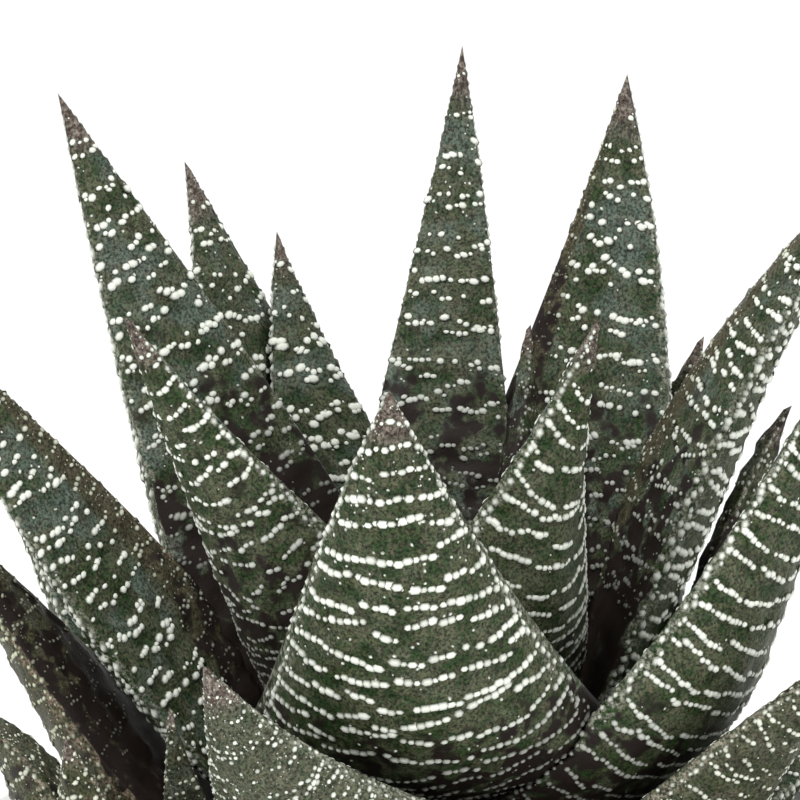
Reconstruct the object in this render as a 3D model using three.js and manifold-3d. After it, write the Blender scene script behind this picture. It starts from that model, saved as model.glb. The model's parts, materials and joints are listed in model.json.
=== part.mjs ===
// A potted haworthia: a rosette of thick pointed leaves with raised cross rows of tubercles, on a short
// crown that stands in the soil of a plain round pot, with one small offset beside it.
// Millimetres, +Z up. The origin is the centre of the pot's flat underside, and -Y faces the viewer.
import * as THREE from 'three';
import { mergeVertices } from 'three/addons/utils/BufferGeometryUtils.js';
import Module from 'manifold-3d';

const wasm = await Module();
wasm.setup();

// Pot
const POT_HEIGHT = 58;
const POT_RIM_RADIUS = 32.5;
const POT_FOOT_RADIUS = 24;
const POT_WALL = 3;
const POT_FLOOR = 4;
const POT_EDGE = 1.2;
const POT_SIDES = 40;
const DRAIN_RADIUS = 2;
const DRAIN_CIRCLE = 11;
const DRAIN_COUNT = 3;
const DRAIN_SIDES = 16;

// Soil
const GAP = 0.3;
const SOIL_TOP = 51;
const SOIL_BUMP = 0.8;
const SOIL_RINGS = 6;
const SOIL_SPOKES = 28;
const SOIL_JITTER = 0.5;
const SOIL_SEED = 11;

// Crown: the short stem that carries the leaves, as radius and height pairs from its foot to its top
const CROWN_FOOT = 41;
const CROWN = [[4.2, CROWN_FOOT], [4.8, 49], [6.6, 52.5], [7.0, 60], [5.6, 66], [3.2, 70], [1.2, 71.4]];
const CROWN_SIDES = 20;
const STEM_DOME = 0.6;

// Leaf shape, as shares of a leaf's own length and width
const TAPER_POWER = 1.35;
const ROOT_LENGTH = 0.28;
const ROOT_WIDTH = 0.66;
const ROOT_DEPTH = 0.38;
const DEEP_FROM = 0.5;
const HANDLE = 0.36;
const OUTER_SIDES = 6;
const INNER_SIDES = 4;
const TIP_END = 0.985;
const BACK_ROUND = 0.55;
const KEEL = 0.3;
const KEEL_SPAN = [0.25, 0.8];
const FACE_DEPTH = 0.12;
const FACE_TURN = 0.35;

// Tubercle rows, in millimetres above the leaf's skin, and where along the leaf they lie
const ROW_START = 0.17;
const ROW_END = 0.93;
const TUBERCLE_HEIGHT = 0.5;
const TUBERCLE_LOW = 0.24;
const MARGIN_TOOTH = 0.3;

// A leaf's clear zone keeps its neighbours off its skin and tubercles. Cuts leave nothing below FINEST.
const CLEARANCE = 0.85;
const ENVELOPE_STATIONS = 9;
const FINEST = 0.02;

// Leaves from the youngest to the oldest. az: the side of the crown that the leaf grows from, in degrees
// from +X. root: distance from the axis and height. rise: slope of the root. tip: where the leaf ends.
// pitch and lean: slope and compass direction of the last stretch. roll: turn about its own length at the
// root and at the tip. thick: depth of the back against the width.
const LEAVES = [
  {
    name: 'leaf_01', az: 330, root: [1.6, 69], rise: 80, tip: [5.7, 4.0, 91.8], pitch: 84, lean: 20,
    width: 9, thick: 0.41, roll: [0, 0], rows: 6,
  },
  {
    name: 'leaf_02', az: 180, root: [2.0, 68.5], rise: 78, tip: [-6.0, 2.5, 80.5], pitch: 80, lean: 160,
    width: 10, thick: 0.41, roll: [0, 0], rows: 6,
  },
  {
    name: 'leaf_03', az: 245, root: [2.6, 67.5], rise: 76, tip: [-2.0, -8, 85], pitch: 82, lean: 245,
    width: 9, thick: 0.41, roll: [0, 0], rows: 5,
  },
  {
    name: 'leaf_04', az: 288, root: [4.0, 65.5], rise: 70, tip: [9.7, -14, 95.7], pitch: 66, lean: 340,
    width: 18, thick: 0.42, roll: [0, 0], rows: 9,
  },
  {
    name: 'leaf_05', az: 95, root: [4.6, 65.5], rise: 72, tip: [1.3, 17, 108.2], pitch: 82, lean: 80,
    width: 13, thick: 0.34, roll: [0, 0], rows: 11,
  },
  {
    name: 'leaf_06', az: 242, root: [4.6, 65], rise: 50, tip: [-20.0, -18, 96.7], pitch: 58, lean: 215,
    width: 17, thick: 0.38, roll: [10, 15], rows: 10,
  },
  {
    name: 'leaf_07', az: 42, root: [5.0, 64], rise: 66, tip: [12.2, 13, 106.9], pitch: 84, lean: 55,
    width: 21.5, thick: 0.34, roll: [0, 10], rows: 11,
  },
  {
    name: 'leaf_08', az: 112, root: [5.6, 63], rise: 64, tip: [-11.2, 20, 95], pitch: 76, lean: 125,
    width: 15, thick: 0.37, roll: [0, -5], rows: 8,
  },
  {
    name: 'leaf_09', az: 267, root: [5.0, 67], rise: 6, tip: [-3.5, -29, 94.4], pitch: 70, lean: 270,
    width: 27, thick: 0.36, roll: [0, 0], rows: 11,
  },
  {
    name: 'leaf_10', az: 8, root: [6.0, 61], rise: 71, tip: [30.8, 0, 106], pitch: 45, lean: 5,
    width: 15.5, thick: 0.39, roll: [0, 20], rows: 10,
  },
  {
    name: 'leaf_11', az: 150, root: [6.0, 61], rise: 64, tip: [-25.2, 6, 106.8], pitch: 66, lean: 170,
    width: 19, thick: 0.39, roll: [-20, -50], rows: 11,
  },
  {
    name: 'leaf_12', az: 312, root: [6.2, 62], rise: 12, tip: [25.6, -14, 94.8], pitch: 66, lean: 335,
    width: 18.2, taper: 2, thick: 0.27, roll: [0, 0], rows: 11,
  },
  {
    name: 'leaf_13', az: 125, root: [6.0, 59], rise: 60, tip: [-17.4, 20, 99.8], pitch: 70, lean: 155,
    width: 21, thick: 0.34, roll: [0, -20], rows: 9,
  },
  {
    name: 'leaf_14', az: 40, root: [6.0, 59], rise: 56, tip: [17.4, 12, 89.4], pitch: 66, lean: 30,
    width: 20, thick: 0.37, roll: [0, 0], rows: 8,
  },
  {
    name: 'leaf_15', az: 188, root: [6.2, 59], rise: 45, tip: [-36.2, -6, 96.2], pitch: 50, lean: 180,
    width: 15, thick: 0.33, roll: [-20, -62], rows: 11,
  },
  {
    name: 'leaf_16', az: 80, root: [6.2, 57], rise: 30, tip: [6, 33, 82], pitch: 66, lean: 80,
    width: 17, thick: 0.37, roll: [0, 0], rows: 7,
  },
  {
    name: 'leaf_17', az: 355, root: [6.4, 57], rise: 40, tip: [22.8, 3, 86.6], pitch: 56, lean: 350,
    width: 16, thick: 0.39, roll: [0, 0], rows: 7,
  },
  {
    name: 'leaf_18', az: 262, root: [6.6, 57], rise: 16, tip: [-14.9, -30, 77.4], pitch: 62, lean: 215,
    width: 26, thick: 0.33, roll: [15, 25], rows: 9,
  },
  {
    name: 'leaf_19', az: 155, root: [6.4, 56], rise: 24, tip: [-30, 16, 80], pitch: 56, lean: 150,
    width: 16, thick: 0.37, roll: [0, 0], rows: 7,
  },
  {
    name: 'leaf_20', az: 318, root: [6.8, 54.4], rise: 26, tip: [27.4, -20, 76.6], pitch: 34, lean: 330,
    width: 20, thick: 0.34, roll: [0, -10], rows: 8,
  },
  {
    name: 'leaf_21', az: 55, root: [6.4, 55], rise: 20, tip: [22, 26, 73], pitch: 54, lean: 55,
    width: 16, thick: 0.37, roll: [0, 0], rows: 6,
  },
  {
    name: 'leaf_22', az: 200, root: [6.6, 55], rise: 24, tip: [-33, -6, 81.5], pitch: 48, lean: 185,
    width: 18, thick: 0.4, roll: [-15, -30], rows: 8,
  },
  {
    name: 'leaf_23', az: 108, root: [6.6, 54.4], rise: 18, tip: [-9, 31, 72], pitch: 52, lean: 108,
    width: 15, thick: 0.37, roll: [0, 0], rows: 6,
  },
  {
    name: 'leaf_24', az: 14, root: [6.6, 54], rise: 12, tip: [28, 13, 63.5], pitch: 32, lean: 25,
    width: 15, thick: 0.37, roll: [0, 0], rows: 6,
  },
];

// The offset: a small young rosette from the same roots, its own stem beside the main one
const OFFSET_CENTRE = [-19.5, -15.5];
const OFFSET_STEM = [[1.5, 46], [2.0, 51], [2.6, 54], [1.6, 57]];
const OFFSET_SIDES = 12;
const OFFSET_LEAVES = [
  {
    az: 20, root: [1.5, 55], rise: 50, tip: [-17.5, -15.5, 71], pitch: 84, lean: 150,
    width: 6, thick: 0.38, roll: [0, 0], rows: 4,
  },
  {
    az: 185, root: [1.2, 54], rise: 76, tip: [-30.6, -18, 71.4], pitch: 18, lean: 180,
    width: 17, thick: 0.36, roll: [0, 0], rows: 5,
  },
  {
    az: 255, root: [1.2, 53.5], rise: 40, tip: [-23.7, -24, 71.2], pitch: 60, lean: 240,
    width: 12, thick: 0.38, roll: [0, 0], rows: 4,
  },
  {
    az: 330, root: [1.2, 53.5], rise: 50, tip: [-14.5, -19.5, 64], pitch: 66, lean: 320,
    width: 6.5, thick: 0.38, roll: [0, 0], rows: 3,
  },
].map(leaf => ({ ...leaf, centre: OFFSET_CENTRE }));

const radians = THREE.MathUtils.degToRad;

// Direction with a compass azimuth and a slope above the horizon, in degrees
function heading(azimuth, slope) {
  const a = radians(azimuth);
  const e = radians(slope);
  return new THREE.Vector3(Math.cos(a) * Math.cos(e), Math.sin(a) * Math.cos(e), Math.sin(e));
}

// Closed surface from triangles and shared points
function surface(points, triangles) {
  const geometry = new THREE.BufferGeometry();
  geometry.setFromPoints(points);
  geometry.setIndex(triangles);
  return geometry;
}

function toSolid(geometry) {
  const bare = geometry.clone();
  bare.deleteAttribute('normal');
  bare.deleteAttribute('uv');
  const merged = mergeVertices(bare, 1e-4);
  return new wasm.Manifold(new wasm.Mesh({
    numProp: 3,
    vertProperties: Float32Array.from(merged.attributes.position.array),
    triVerts: Uint32Array.from(merged.index.array),
  }));
}

function toGeometry(solid) {
  const mesh = solid.getMesh();
  const geometry = new THREE.BufferGeometry();
  geometry.setAttribute('position', new THREE.Float32BufferAttribute(mesh.vertProperties, 3));
  geometry.setIndex(Array.from(mesh.triVerts));
  return geometry;
}

function largestBody(solid) {
  const bodies = solid.decompose();
  return bodies.reduce((best, body) => (body.volume() > best.volume() ? body : best));
}

// Lathe about +Z from radius and height pairs that start and end on the axis
function turned(profile, sides) {
  const outline = profile.map(([radius, height]) => new THREE.Vector2(radius, height));
  return new THREE.LatheGeometry(outline, sides).rotateX(Math.PI / 2);
}

// Repeatable random numbers from 0 to 1
function seeded(seed) {
  let state = seed;
  return () => {
    state = (state * 1103515245 + 12345) % 2147483648;
    return state / 2147483648;
  };
}

// A leaf's middle line, with its side and back directions at t from 0 at the root to 1 at the tip
function leafFrame(leaf, t) {
  const [reach, height] = leaf.root;
  const [x, y] = leaf.centre ?? [0, 0];
  const start = heading(leaf.az, 0).multiplyScalar(reach).add(new THREE.Vector3(x, y, height));
  const end = new THREE.Vector3(...leaf.tip);
  const handle = start.distanceTo(end) * HANDLE;
  const curve = new THREE.CubicBezierCurve3(
    start,
    start.clone().addScaledVector(heading(leaf.az, leaf.rise), handle),
    end.clone().addScaledVector(heading(leaf.lean, leaf.pitch), -handle),
    end,
  );
  const along = curve.getTangent(t);
  const turn = ((leaf.lean - leaf.az + 540) % 360) - 180;
  const side = heading(leaf.az + turn * t + 90, 0);
  side.addScaledVector(along, -side.dot(along)).normalize();
  side.applyAxisAngle(along, radians(THREE.MathUtils.lerp(leaf.roll[0], leaf.roll[1], t)));
  const back = side.clone().cross(along);
  return { point: curve.getPoint(t), side, back };
}

// Half width, depth of the rounded back and depth of the inner face, in millimetres. The root is narrower
// up to ROOT_LENGTH, and the back reaches its full depth at DEEP_FROM and gains a keel toward the tip. The
// inner face is hollow near the root and swells past FACE_TURN.
function leafSection(leaf, t) {
  const taper = 1 - t ** (leaf.taper ?? TAPER_POWER);
  const root = 1 - Math.max(0, 1 - t / ROOT_LENGTH) ** 2;
  const deep = THREE.MathUtils.smoothstep(t, 0, DEEP_FROM);
  return {
    half: leaf.width / 2 * taper * (ROOT_WIDTH + (1 - ROOT_WIDTH) * root),
    back: leaf.width * leaf.thick * taper * THREE.MathUtils.lerp(ROOT_DEPTH, 1, deep),
    face: leaf.width * FACE_DEPTH * taper * (t - FACE_TURN),
    keel: KEEL * THREE.MathUtils.smoothstep(t, ...KEEL_SPAN),
  };
}

// One ring of points round the leaf: across its back from margin to margin, then over its inner face
function leafRing(leaf, t, grow, lift) {
  const { point, side, back } = leafFrame(leaf, t);
  const section = leafSection(leaf, t);
  const half = section.half + grow;
  const ring = [];
  for (let i = 0; i <= OUTER_SIDES; i++) {
    const across = Math.sin((i / OUTER_SIDES - 0.5) * Math.PI);
    const round = (1 - across * across) ** BACK_ROUND;
    const shape = round * (1 - section.keel) + (1 - Math.abs(across)) * section.keel;
    const edge = i === 0 || i === OUTER_SIDES;
    const out = edge ? 0 : section.back * shape + grow + lift(i);
    const width = edge ? half + lift(i) : half;
    ring.push(point.clone().addScaledVector(side, across * width).addScaledVector(back, out));
  }
  for (let i = INNER_SIDES - 1; i > 0; i--) {
    const across = (i / INNER_SIDES - 0.5) * 2;
    const out = section.face * (1 - across * across) + grow + lift(OUTER_SIDES + i);
    ring.push(point.clone().addScaledVector(side, across * half).addScaledVector(back, -out));
  }
  return ring;
}

function leafSurface(leaf, stations, grow, lift) {
  const rings = stations.map((t, k) => leafRing(leaf, t, grow, i => lift(k, i)));
  const count = rings[0].length;
  const points = rings.flat();
  const triangles = [];
  for (let k = 0; k + 1 < rings.length; k++) {
    for (let i = 0; i < count; i++) {
      const a = k * count + i;
      const b = k * count + (i + 1) % count;
      triangles.push(a, b, b + count, a, b + count, a + count);
    }
  }
  const root = points.push(leafFrame(leaf, stations[0]).point) - 1;
  const tip = points.push(leafFrame(leaf, 1).point) - 1;
  const last = (rings.length - 1) * count;
  for (let i = 0; i < count; i++) {
    const j = (i + 1) % count;
    triangles.push(root, j, i, tip, last + i, last + j);
  }
  return surface(points, triangles);
}

// The leaf itself: rows of tubercles across it, each row one raised ring between two low ones
function leafSolid(leaf) {
  const stations = [0, ROW_START / 2];
  const steps = leaf.rows * 2;
  for (let k = 0; k <= steps; k++) {
    stations.push(ROW_START + (ROW_END - ROW_START) * k / steps);
  }
  stations.push(TIP_END);
  const first = 2;
  const lift = (k, i) => {
    const row = k - first;
    if (row < 1 || row >= steps || row % 2 === 0) return 0;
    if (i === 0 || i === OUTER_SIDES) return MARGIN_TOOTH;
    return (i + (row - 1) / 2) % 2 === 0 ? TUBERCLE_HEIGHT : TUBERCLE_LOW;
  };
  return toSolid(leafSurface(leaf, stations, 0, lift));
}

function leafEnvelope(leaf) {
  const stations = [];
  for (let k = 0; k < ENVELOPE_STATIONS; k++) stations.push(TIP_END * k / (ENVELOPE_STATIONS - 1));
  return toSolid(leafSurface(leaf, stations, CLEARANCE, () => 0));
}

function wallOutside(height) {
  return POT_FOOT_RADIUS + (POT_RIM_RADIUS - POT_FOOT_RADIUS) * height / POT_HEIGHT;
}

function upright(radius, length, sides) {
  return new THREE.CylinderGeometry(radius, radius, length, sides).rotateX(Math.PI / 2);
}

// The pot: a lathe profile with rounded edges, and drain holes through its floor
function potSolid() {
  const shoulder = POT_HEIGHT - POT_EDGE;
  const corner = POT_EDGE * (1 - Math.SQRT1_2);
  const profile = [
    [0, 0],
    [POT_FOOT_RADIUS - POT_EDGE, 0],
    [wallOutside(POT_EDGE), POT_EDGE],
    [wallOutside(shoulder), shoulder],
    [POT_RIM_RADIUS - corner, POT_HEIGHT - corner],
    [POT_RIM_RADIUS - POT_EDGE, POT_HEIGHT],
    [POT_RIM_RADIUS - POT_WALL + POT_EDGE, POT_HEIGHT],
    [POT_RIM_RADIUS - POT_WALL + corner, POT_HEIGHT - corner],
    [wallOutside(shoulder) - POT_WALL, shoulder],
    [wallOutside(POT_FLOOR) - POT_WALL, POT_FLOOR],
    [0, POT_FLOOR],
  ];
  let pot = toSolid(turned(profile, POT_SIDES));
  for (let k = 0; k < DRAIN_COUNT; k++) {
    const drain = upright(DRAIN_RADIUS, POT_FLOOR * 3, DRAIN_SIDES);
    const place = heading(k * 360 / DRAIN_COUNT + 90, 0).multiplyScalar(DRAIN_CIRCLE);
    pot = pot.subtract(toSolid(drain.translate(place.x, place.y, 0)));
  }
  return pot;
}

// Soil with an uneven top, out to the pot's wall
function soilSolid(holes) {
  const random = seeded(SOIL_SEED);
  const jitter = () => (random() - 0.5) * SOIL_JITTER;
  const floor = POT_FLOOR + GAP;
  const reachAt = height => wallOutside(height) - POT_WALL - GAP;
  const points = [new THREE.Vector3(0, 0, SOIL_TOP), new THREE.Vector3(0, 0, floor)];
  const triangles = [];
  const start = points.length;
  for (let ring = 1; ring <= SOIL_RINGS; ring++) {
    for (let k = 0; k < SOIL_SPOKES; k++) {
      const edge = ring === SOIL_RINGS;
      const reach = reachAt(SOIL_TOP) * (ring + (edge ? 0 : jitter())) / SOIL_RINGS;
      const angle = (k + (edge ? 0 : jitter())) * 360 / SOIL_SPOKES;
      const height = SOIL_TOP + (edge ? 0 : (random() * 2 - 1) * SOIL_BUMP);
      points.push(heading(angle, 0).multiplyScalar(reach).setZ(height));
    }
  }
  const foot = points.length;
  for (let k = 0; k < SOIL_SPOKES; k++) {
    points.push(heading(k * 360 / SOIL_SPOKES, 0).multiplyScalar(reachAt(floor)).setZ(floor));
  }
  for (let k = 0; k < SOIL_SPOKES; k++) {
    const next = (k + 1) % SOIL_SPOKES;
    triangles.push(0, start + k, start + next, 1, foot + next, foot + k);
    for (let ring = 0; ring < SOIL_RINGS; ring++) {
      const a = start + ring * SOIL_SPOKES;
      const b = a + SOIL_SPOKES;
      triangles.push(a + k, b + k, b + next, a + k, b + next, a + next);
    }
  }
  return holes.reduce((soil, hole) => soil.subtract(hole), toSolid(surface(points, triangles)));
}

function stemSolid(stem, sides, [x, y], grow) {
  const profile = stem.map(([radius, height]) => [radius + grow, height]);
  profile[0][1] -= grow;
  const top = profile[profile.length - 1][1] + STEM_DOME + grow;
  const outline = [[0, profile[0][1]], ...profile, [0, top]];
  return toSolid(turned(outline, sides).translate(x, y, 0));
}

const crownSolid = grow => stemSolid(CROWN, CROWN_SIDES, [0, 0], grow);
const offsetStem = grow => stemSolid(OFFSET_STEM, OFFSET_SIDES, OFFSET_CENTRE, grow);

const colours = {
  leaf: new THREE.MeshStandardMaterial({ color: 0x4a5440, roughness: 0.55, metalness: 0 }),
  crown: new THREE.MeshStandardMaterial({ color: 0x6b5a45, roughness: 0.8, metalness: 0 }),
  soil: new THREE.MeshStandardMaterial({ color: 0x2b211b, roughness: 0.95, metalness: 0 }),
  pot: new THREE.MeshStandardMaterial({ color: 0xd9d9d6, roughness: 0.4, metalness: 0 }),
};

const plant = new THREE.Group();

function addPiece(name, solid, material) {
  const piece = new THREE.Mesh(toGeometry(solid), material);
  piece.name = name;
  plant.add(piece);
}

// What the leaves keep clear of below them: the soil with its highest crumbs, and the pot's rim
function groundSolid() {
  const top = SOIL_TOP + SOIL_BUMP + GAP;
  const inside = wallOutside(SOIL_TOP) - POT_WALL - GAP;
  const outside = POT_RIM_RADIUS + GAP;
  const brim = POT_HEIGHT + GAP;
  const profile = [[0, 0], [outside, 0], [outside, brim], [inside, brim], [inside, top], [0, top]];
  return toSolid(turned(profile, POT_SIDES));
}

// A body with the given solids cut away, without the chips that the cuts leave
function cleared(solid, others) {
  return largestBody(others.reduce((rest, other) => rest.subtract(other), solid).simplify(FINEST));
}

const ground = groundSolid();
const envelopes = LEAVES.map(leafEnvelope);

addPiece('pot', potSolid(), colours.pot);
addPiece('soil', soilSolid([crownSolid(GAP), offsetStem(GAP)]), colours.soil);
addPiece('stem', crownSolid(0), colours.crown);

// Each leaf gives way to the crown, to the ground and to every younger leaf, whose root lies inside its own
LEAVES.forEach((leaf, k) => {
  const others = [crownSolid(GAP), ground, ...envelopes.slice(0, k)];
  addPiece(leaf.name, cleared(leafSolid(leaf), others), colours.leaf);
});

// The offset is one piece: its leaves are fused to its stem, and it gives way to the big leaves round it
const young = OFFSET_LEAVES.map(leaf => leafSolid(leaf).subtract(ground));
const fused = young.reduce((solid, leaf) => solid.add(leaf), offsetStem(0));
addPiece('offset', cleared(fused, envelopes), colours.leaf);

export default plant;
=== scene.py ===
"""A potted haworthia, dressed for the photograph.

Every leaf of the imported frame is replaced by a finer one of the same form, with its white tubercles as
small beads. The pot and soil get finer pieces too. Shapes are worked out in millimetres and handed to
Blender in metres, in the frame's own axes: +Z up, and -Y toward the viewer.
"""

import json
import math
from collections import namedtuple

import bpy
import numpy as np
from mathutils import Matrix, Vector
from mathutils.bvhtree import BVHTree
from mathutils.kdtree import KDTree

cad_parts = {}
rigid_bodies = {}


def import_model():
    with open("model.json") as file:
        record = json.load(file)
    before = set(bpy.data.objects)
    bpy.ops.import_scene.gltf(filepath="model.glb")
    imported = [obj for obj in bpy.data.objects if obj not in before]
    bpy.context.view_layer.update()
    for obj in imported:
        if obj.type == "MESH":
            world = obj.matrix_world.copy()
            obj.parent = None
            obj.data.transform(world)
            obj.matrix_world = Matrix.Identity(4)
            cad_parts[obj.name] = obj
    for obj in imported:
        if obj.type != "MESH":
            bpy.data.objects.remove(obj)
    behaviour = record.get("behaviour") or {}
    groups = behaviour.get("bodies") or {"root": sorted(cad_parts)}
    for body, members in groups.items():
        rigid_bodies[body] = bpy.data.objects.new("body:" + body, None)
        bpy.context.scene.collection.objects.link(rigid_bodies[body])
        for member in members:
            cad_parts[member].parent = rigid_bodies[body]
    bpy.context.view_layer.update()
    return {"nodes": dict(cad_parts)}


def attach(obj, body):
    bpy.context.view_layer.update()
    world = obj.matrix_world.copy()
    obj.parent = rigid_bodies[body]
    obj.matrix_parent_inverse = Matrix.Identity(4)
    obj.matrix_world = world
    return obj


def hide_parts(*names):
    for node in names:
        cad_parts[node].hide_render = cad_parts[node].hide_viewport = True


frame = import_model()

MM = 0.001

# Camera: where the photograph was taken from
AIM = (-2.86, 0.0, 87.6)
ELEVATION = 12.0
DISTANCE = 450.0
PIXEL = 0.065
FRAME_PIXELS = 800
SENSOR = 36.0
CLIP = (10.0, 20000.0)

# Stage and light. A lamp is its place, its width and its power.
FLOOR_REACH = 4000.0
FLOOR_WHITE = (0.96, 0.96, 0.96)
FLOOR_ROUGHNESS = 0.9
SKY_WHITE = (1.0, 1.0, 1.0)
SKY_STRENGTH = 1.06
KEY_LAMP = ((-250, -380, 520), 320, 1.8)
FILL_LAMP = ((420, -420, 260), 300, 0.4)

# Pot, as in the part's source but more finely divided. Its rounded edges stop short by the wall's lean.
POT_HEIGHT = 58.0
POT_RIM_RADIUS = 32.5
POT_FOOT_RADIUS = 24.0
POT_WALL = 3.0
POT_FLOOR = 4.0
POT_EDGE = 1.2
POT_SIDES = 144
WALL_STEPS = 12
EDGE_STEPS = 6
EDGE_LEAN = 8
DRAIN_RADIUS = 2.0
DRAIN_CIRCLE = 11.0
DRAIN_COUNT = 3
DRAIN_SIDES = 32

# Soil
GAP = 0.3
SOIL_TOP = 51.0
SOIL_BUMP = 0.5
SOIL_STEP = 0.9
SOIL_SIDES = 120
SOIL_LEVEL_RIM = 0.5
GRAIN_COUNT = 1500
GRAIN_SIZE = (0.35, 1.1)
GRAIN_SHAPE = (0.6, 1.0)
CROWN_CLEAR = 2.5
OFFSET_CLEAR = 1.0

# The crown that carries the leaves, as radius and height pairs, and the dome on its top
CROWN = [(4.2, 41), (4.8, 49), (6.6, 52.5), (7.0, 60), (5.6, 66), (3.2, 70), (1.2, 71.4)]
CROWN_SIDES = 20
STEM_DOME = 0.6

# Leaf shape, as in the part's source
TAPER_POWER = 1.35
ROOT_LENGTH = 0.28
ROOT_WIDTH = 0.66
ROOT_DEPTH = 0.38
DEEP_FROM = 0.5
HANDLE = 0.36
TIP_END = 0.985
BACK_ROUND = 0.55
KEEL = 0.3
KEEL_SPAN = (0.25, 0.8)
KEEL_SOFT = 0.12
FACE_DEPTH = 0.12
FACE_TURN = 0.35
LENGTH_STEPS = 200

# What a leaf leaves free round each younger one, and how fine the solid for that is
CLEARANCE = 0.35
ENVELOPE_STATIONS = 14
ENVELOPE_OUTER = 10
ENVELOPE_INNER = 6

# Skin mesh, in millimetres between points, and its low relief. The girth of a face is a share of the
# leaf's width.
STATION_STEP = 0.46
SKIN_START = 0.01
RING_STEP = 0.8
OUTER_GIRTH = 1.15
INNER_GIRTH = 0.85
OUTER_LEAST = 12
INNER_LEAST = 10
LIP = 0.28
RIDGE_HEIGHT = 0.14
RIDGE_WIDTH = 0.38
WAVE_HEIGHT = 0.05
WAVE_COUNT = 6
WAVE_RATE = (0.5, 2.2)
RELIEF_FADE = (0.1, 0.9)

# The sheet of points that tells where a point of the skin lies on its leaf, and the width of a row's band
SHEET_STATIONS = 90
SHEET_SIDES = 24
BAND_WIDTH = 0.45

# Rows of tubercles: how far along a leaf they reach, how far apart they are at its root and at its tip,
# and how far across it they reach. Those on the inner face lie in pairs. A row wanders and waves a
# little, and bows toward the root by a share of the leaf's width.
ROW_START = 0.06
ROW_END = 0.96
ROW_PITCH = (1.15, 1.5)
PITCH_SPREAD = (0.88, 1.12)
PAIRED = 0.4
ROW_REACH = 0.97
ROW_POINTS = 61
ROW_LEAD = (0.05, 0.6)
ROW_WANDER = 0.26
ROW_WAVE = 0.2
ROW_WAVE_SPAN = 3.0
INNER_BOW = 0.02
BOW_LEVEL = 0.4

# Tubercles: beads in runs along the rows, with gaps between the runs that close on the flanks of the
# back. Radii, gaps, whites and stretches lie in these ranges, and a run's count is drawn from its list.
OUTER_BEADS = (0.165, 0.275)
INNER_BEADS = (0.13, 0.27)
OUTER_BEAD_SIDES = 6
INNER_BEAD_SIDES = 7
OUTER_RUNS = (1, 2, 2, 3, 3, 4, 5, 6)
OUTER_GAPS = (0.12, 0.6)
INNER_RUNS = (1, 1, 2, 2, 3, 4)
INNER_GAPS = (0.15, 0.85)
OUTER_WHITE = (0.6, 1.0)
INNER_WHITE = (0.7, 1.0)
FLANK = (0.55, 0.85)
RUN_TILT = 0.3
BEAD_START = 0.02
BEAD_STRETCH = (1.0, 1.6)
BEAD_HEIGHT = 0.56
BEAD_STEP = 0.42
BEAD_WANDER = 0.05
FAR_FROM_SKIN = 0.12

# Beads are smaller, or duller, toward the tip, in the painted shade and soil stain at the base, in haze
# and on a brown side
TIP_FROM = 0.8
TIP_SHRINK = 0.4
SHADE_AND_STAIN_SHRINK = 0.3
FACET_SHRINK = 0.3
FACET_DIM = 0.2
FACET_WARM = 0.6
HAZE_DIM = 0.3

# Specks: small stray beads, counted in an area in square millimetres, and those of the margins
SPECK_SIDES = 5
SPECK_AREA = 9.0
SPECK_SPAN = (0.05, 0.98)
SPECK_RADIUS = (0.08, 0.15)
FACET_SPECKS = 8.0
MARGIN_END = 0.98
MARGIN_PLACE = (0.96, 1.0)
MARGIN_STEP = (0.36, 0.8)
MARGIN_RADIUS = (0.2, 0.36)

# Painted shade, with some soil stain, at a leaf's base: how dark a leaf's back gets, where beads are lost
# in it, and how softly a brown side starts
OUTER_SHADE_AND_STAIN = 0.8
HIDDEN_IN_SHADE_AND_STAIN = 0.97
FACET_SOFT = 0.15

# Colours of the skin, the tubercles, the soil, the pot and the stem
SKIN_DEEP = (0.011, 0.030, 0.008)
SKIN_PALE = (0.056, 0.068, 0.039)
SKIN_BAND = (0.052, 0.058, 0.026)
# The next colour is a painted sheen: the bluish reflection of the sky on the inner faces.
SKIN_SHEEN = (0.086, 0.114, 0.096)
SKIN_HAZE = (0.095, 0.100, 0.074)
SKIN_WARM = (0.056, 0.044, 0.026)
SKIN_RUDDY = (0.080, 0.054, 0.040)
# The next colour is painted shade, with some soil stain, for the leaf bases.
SKIN_SHADE_AND_STAIN = (0.016, 0.011, 0.009)
EDGE_PALE = (0.19, 0.195, 0.155)
EDGE_WARM = (0.19, 0.13, 0.09)
TIP_DARK = (0.070, 0.050, 0.042)
TIP_PALE = (0.150, 0.126, 0.106)
BEAD_WHITE = (0.80, 0.83, 0.74)
BEAD_WARM = (0.40, 0.40, 0.22)
BEAD_FOOT = (0.045, 0.056, 0.030)
# The next colour dulls the beads in the painted shade and soil stain at the base.
BEAD_SHADE_AND_STAIN = (0.038, 0.036, 0.030)
SOIL_DARK = (0.012, 0.008, 0.006)
SOIL_PALE = (0.060, 0.040, 0.028)
GLAZE = (0.69, 0.69, 0.67)
GLAZE_PALE = (0.72, 0.72, 0.70)
GLAZE_SPECK = (0.40, 0.38, 0.35)
STEM_DARK = (0.030, 0.020, 0.014)
STEM_PALE = (0.11, 0.075, 0.05)

SEED = 7


# One leaf: az and rise are its direction and slope at the root, and lean and pitch those at the tip. root
# is how far out and how high it starts, thick its depth as a share of its width, roll its turn about its
# own middle line at both ends, taper how late it narrows, and centre what it stands round.
Leaf = namedtuple(
    "Leaf", "az root rise tip pitch lean width thick roll taper centre",
    defaults=((0, 0), TAPER_POWER, (0, 0)),
)

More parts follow.
